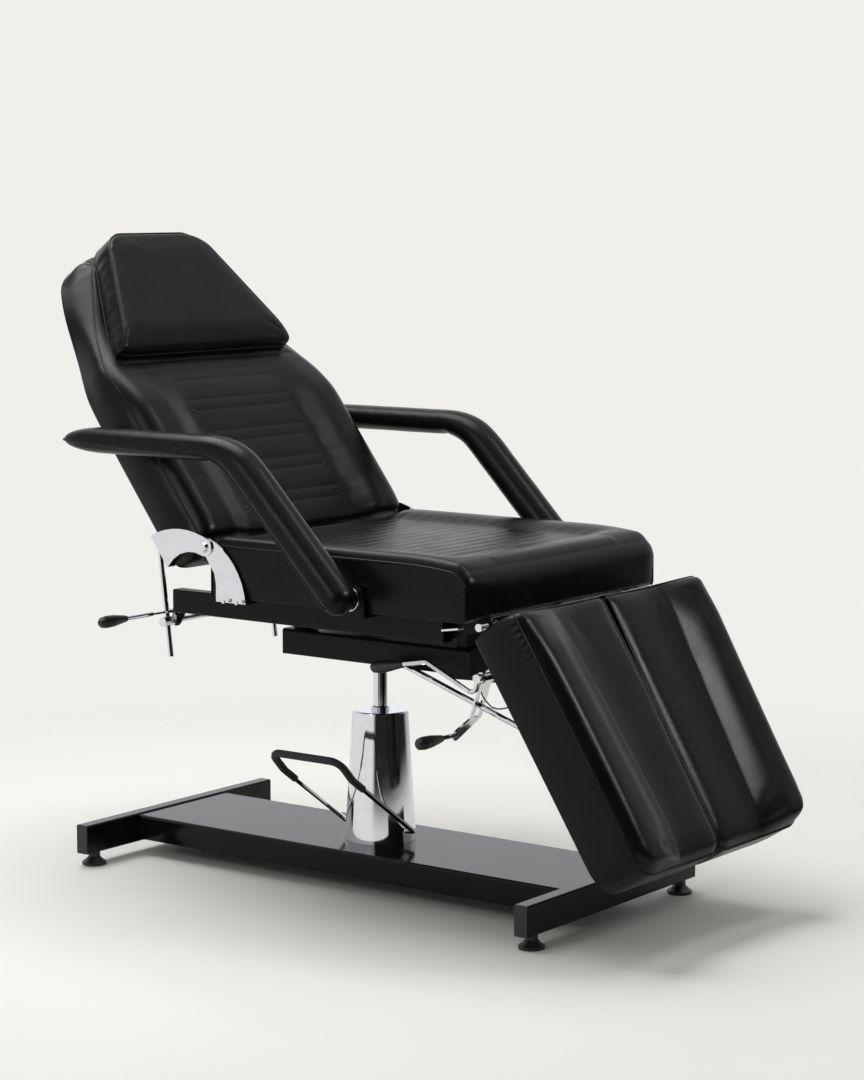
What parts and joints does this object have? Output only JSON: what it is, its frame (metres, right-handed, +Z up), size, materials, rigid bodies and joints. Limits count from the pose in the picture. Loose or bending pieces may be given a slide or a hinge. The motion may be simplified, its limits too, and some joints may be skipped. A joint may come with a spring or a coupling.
{
  "type": "podiatry chair",
  "caption": "Hydraulic podiatry treatment chair: padded seat, reclining back with pillow, separately hinged leg pads, swinging armrests, pump pedal and release levers.",
  "frame": {"origin": "on the floor, at the middle of the chair's bounding footprint", "axes": "+X towards the foot end, +Y to the side away from the release knobs, +Z up"},
  "size_m": [1.5082, 0.8212, 1.2904],
  "materials": {
    "black_leatherette": "soft semi-gloss, fine grain",
    "chrome_plated_steel": "polished",
    "black_powder_coat": "satin to gloss black",
    "black_stained_plywood": "black stain",
    "black_rubber": "matt",
    "black_plastic": "moulded, satin"
  },
  "bodies": {
    "base": {"base_platform": "black_powder_coat", "rear_cross_bar": "black_powder_coat", "front_cross_bar": "black_powder_coat", "pump_body": "black_powder_coat", "pump_cover": "chrome_plated_steel", "pump_gland": "chrome_plated_steel"},
    "rear_near_foot": {"rear_near_levelling_foot": "black_plastic"},
    "rear_far_foot": {"rear_far_levelling_foot": "black_plastic"},
    "front_near_foot": {"front_near_levelling_foot": "black_plastic"},
    "front_far_foot": {"front_far_levelling_foot": "black_plastic"},
    "pedal": {"pedal_rod": "chrome_plated_steel", "pedal_grip": "black_rubber"},
    "piston": {"piston_rod": "chrome_plated_steel"},
    "seat_frame": {"swivel_hub": "black_powder_coat", "mounting_tray": "black_powder_coat", "rear_cross_tube": "black_powder_coat", "front_cross_tube": "black_powder_coat", "near_rail": "black_powder_coat", "far_rail": "black_powder_coat", "centre_hinge_lug": "black_powder_coat", "near_outrigger": "black_powder_coat", "far_outrigger": "black_powder_coat", "near_lock_hanger": "black_powder_coat", "far_lock_hanger": "black_powder_coat", "seat_board": "black_stained_plywood", "seat_cushion": "black_leatherette", "near_seat_hinge_plate": "chrome_plated_steel", "far_seat_hinge_plate": "chrome_plated_steel", "near_arm_bracket": "black_powder_coat", "far_arm_bracket": "black_powder_coat", "leg_hinge_rod": "chrome_plated_steel"},
    "near_arm": {"near_armrest": "black_leatherette"},
    "far_arm": {"far_armrest": "black_leatherette"},
    "back": {"back_board": "black_stained_plywood", "back_cushion": "black_leatherette", "near_back_hinge_plate": "chrome_plated_steel", "far_back_hinge_plate": "chrome_plated_steel", "near_back_rod_clevis": "black_powder_coat", "far_back_rod_clevis": "black_powder_coat"},
    "pillow": {"head_pillow": "black_leatherette"},
    "near_back_rod": {"near_back_rod": "chrome_plated_steel"},
    "far_back_rod": {"far_back_rod": "chrome_plated_steel"},
    "back_lock": {"back_lock_shaft": "chrome_plated_steel"},
    "back_lever": {"back_lever": "chrome_plated_steel", "back_lever_knob": "black_plastic"},
    "near_leg": {"near_leg_board": "black_stained_plywood", "near_leg_cushion": "black_leatherette", "near_leg_bracket": "chrome_plated_steel", "near_leg_rod_clevis": "black_powder_coat"},
    "far_leg": {"far_leg_board": "black_stained_plywood", "far_leg_cushion": "black_leatherette", "far_leg_bracket": "chrome_plated_steel", "far_leg_rod_clevis": "black_powder_coat"},
    "near_leg_rod": {"near_leg_rod": "chrome_plated_steel"},
    "far_leg_rod": {"far_leg_rod": "chrome_plated_steel"},
    "near_leg_lever": {"near_leg_lever": "chrome_plated_steel", "near_leg_lever_knob": "black_plastic"},
    "far_leg_lever": {"far_leg_lever": "chrome_plated_steel", "far_leg_lever_knob": "black_plastic"}
  },
  "joints": [
    {"name": "rear_near_foot_turn", "type": "hinge", "parent": "base", "child": "rear_near_foot", "pos_m": [-0.6122, -0.256, 0], "axis": [0, 0, 1], "continuous": true},
    {"name": "rear_far_foot_turn", "type": "hinge", "parent": "base", "child": "rear_far_foot", "pos_m": [-0.6122, 0.256, 0], "axis": [0, 0, 1], "continuous": true},
    {"name": "front_near_foot_turn", "type": "hinge", "parent": "base", "child": "front_near_foot", "pos_m": [0.4808, -0.256, 0], "axis": [0, 0, 1], "continuous": true},
    {"name": "front_far_foot_turn", "type": "hinge", "parent": "base", "child": "front_far_foot", "pos_m": [0.4808, 0.256, 0], "axis": [0, 0, 1], "continuous": true},
    {"name": "pedal_press", "type": "hinge", "parent": "base", "child": "pedal", "pos_m": [-0.0657, 0, 0.106], "axis": [1, 0, 0], "range_deg": [0, 28], "stiffness_Nm_per_rad": 8, "springref_deg": -17.19},
    {"name": "lift", "type": "slide", "parent": "base", "child": "piston", "axis": [0, 0, 1], "range_m": [-0.085, 0.08]},
    {"name": "swivel", "type": "hinge", "parent": "piston", "child": "seat_frame", "pos_m": [-0.0657, 0, 0.47], "axis": [0, 0, 1], "continuous": true},
    {"name": "near_arm_swing", "type": "hinge", "parent": "seat_frame", "child": "near_arm", "pos_m": [0.1293, -0.38, 0.625], "axis": [0, -1, 0], "range_deg": [-60, 28]},
    {"name": "far_arm_swing", "type": "hinge", "parent": "seat_frame", "child": "far_arm", "pos_m": [0.1293, 0.38, 0.625], "axis": [0, -1, 0], "range_deg": [-60, 28]},
    {"name": "back_recline", "type": "hinge", "parent": "seat_frame", "child": "back", "pos_m": [-0.2387, 0, 0.692], "axis": [0, -1, 0], "range_deg": [-10, 50]},
    {"name": "pillow_slide", "type": "slide", "parent": "back", "child": "pillow", "axis": [-0.599, 0, 0.8007], "range_m": [0, 0.05]},
    {"name": "near_back_rod_turn", "type": "hinge", "parent": "back", "child": "near_back_rod", "pos_m": [-0.52238, -0.165, 0.81452], "axis": [0, -1, 0], "range_deg": [-25, 5]},
    {"name": "far_back_rod_turn", "type": "hinge", "parent": "back", "child": "far_back_rod", "pos_m": [-0.52238, 0.165, 0.81452], "axis": [0, -1, 0], "range_deg": [-25, 5]},
    {"name": "back_lock_turn", "type": "hinge", "parent": "seat_frame", "child": "back_lock", "pos_m": [-0.4847, 0, 0.505], "axis": [0, -1, 0], "range_deg": [-5, 25]},
    {"name": "back_release", "type": "hinge", "parent": "back_lock", "child": "back_lever", "pos_m": [-0.48712, -0.151, 0.52485], "axis": [0.9927, 0, 0.1208], "range_deg": [0, 8], "stiffness_Nm_per_rad": 3, "springref_deg": -11.46},
    {"name": "near_leg_raise", "type": "hinge", "parent": "seat_frame", "child": "near_leg", "pos_m": [0.3733, -0.148, 0.584], "axis": [0, -1, 0], "range_deg": [0, 59]},
    {"name": "far_leg_raise", "type": "hinge", "parent": "seat_frame", "child": "far_leg", "pos_m": [0.3733, 0.148, 0.584], "axis": [0, -1, 0], "range_deg": [0, 59]},
    {"name": "near_leg_rod_turn", "type": "hinge", "parent": "near_leg", "child": "near_leg_rod", "pos_m": [0.51444, -0.165, 0.34333], "axis": [0, -1, 0], "range_deg": [-15, 0]},
    {"name": "far_leg_rod_turn", "type": "hinge", "parent": "far_leg", "child": "far_leg_rod", "pos_m": [0.51444, 0.165, 0.34333], "axis": [0, -1, 0], "range_deg": [-15, 0]},
    {"name": "near_leg_release", "type": "hinge", "parent": "seat_frame", "child": "near_leg_lever", "pos_m": [0.31394, -0.165, 0.47245], "axis": [0, -1, 0], "range_deg": [0, 10], "stiffness_Nm_per_rad": 3, "springref_deg": -11.46},
    {"name": "far_leg_release", "type": "hinge", "parent": "seat_frame", "child": "far_leg_lever", "pos_m": [0.31394, 0, 0.47245], "axis": [0, -1, 0], "range_deg": [0, 8], "stiffness_Nm_per_rad": 3, "springref_deg": -17.19}
  ],
  "couplings": [
    {"joint": "near_back_rod_turn", "follows": "back_recline", "ratio": -0.5},
    {"joint": "far_back_rod_turn", "follows": "back_recline", "ratio": -0.5},
    {"joint": "back_lock_turn", "follows": "back_recline", "ratio": 0.5},
    {"joint": "near_leg_rod_turn", "follows": "near_leg_raise", "ratio": -0.252},
    {"joint": "far_leg_rod_turn", "follows": "far_leg_raise", "ratio": -0.252}
  ]
}
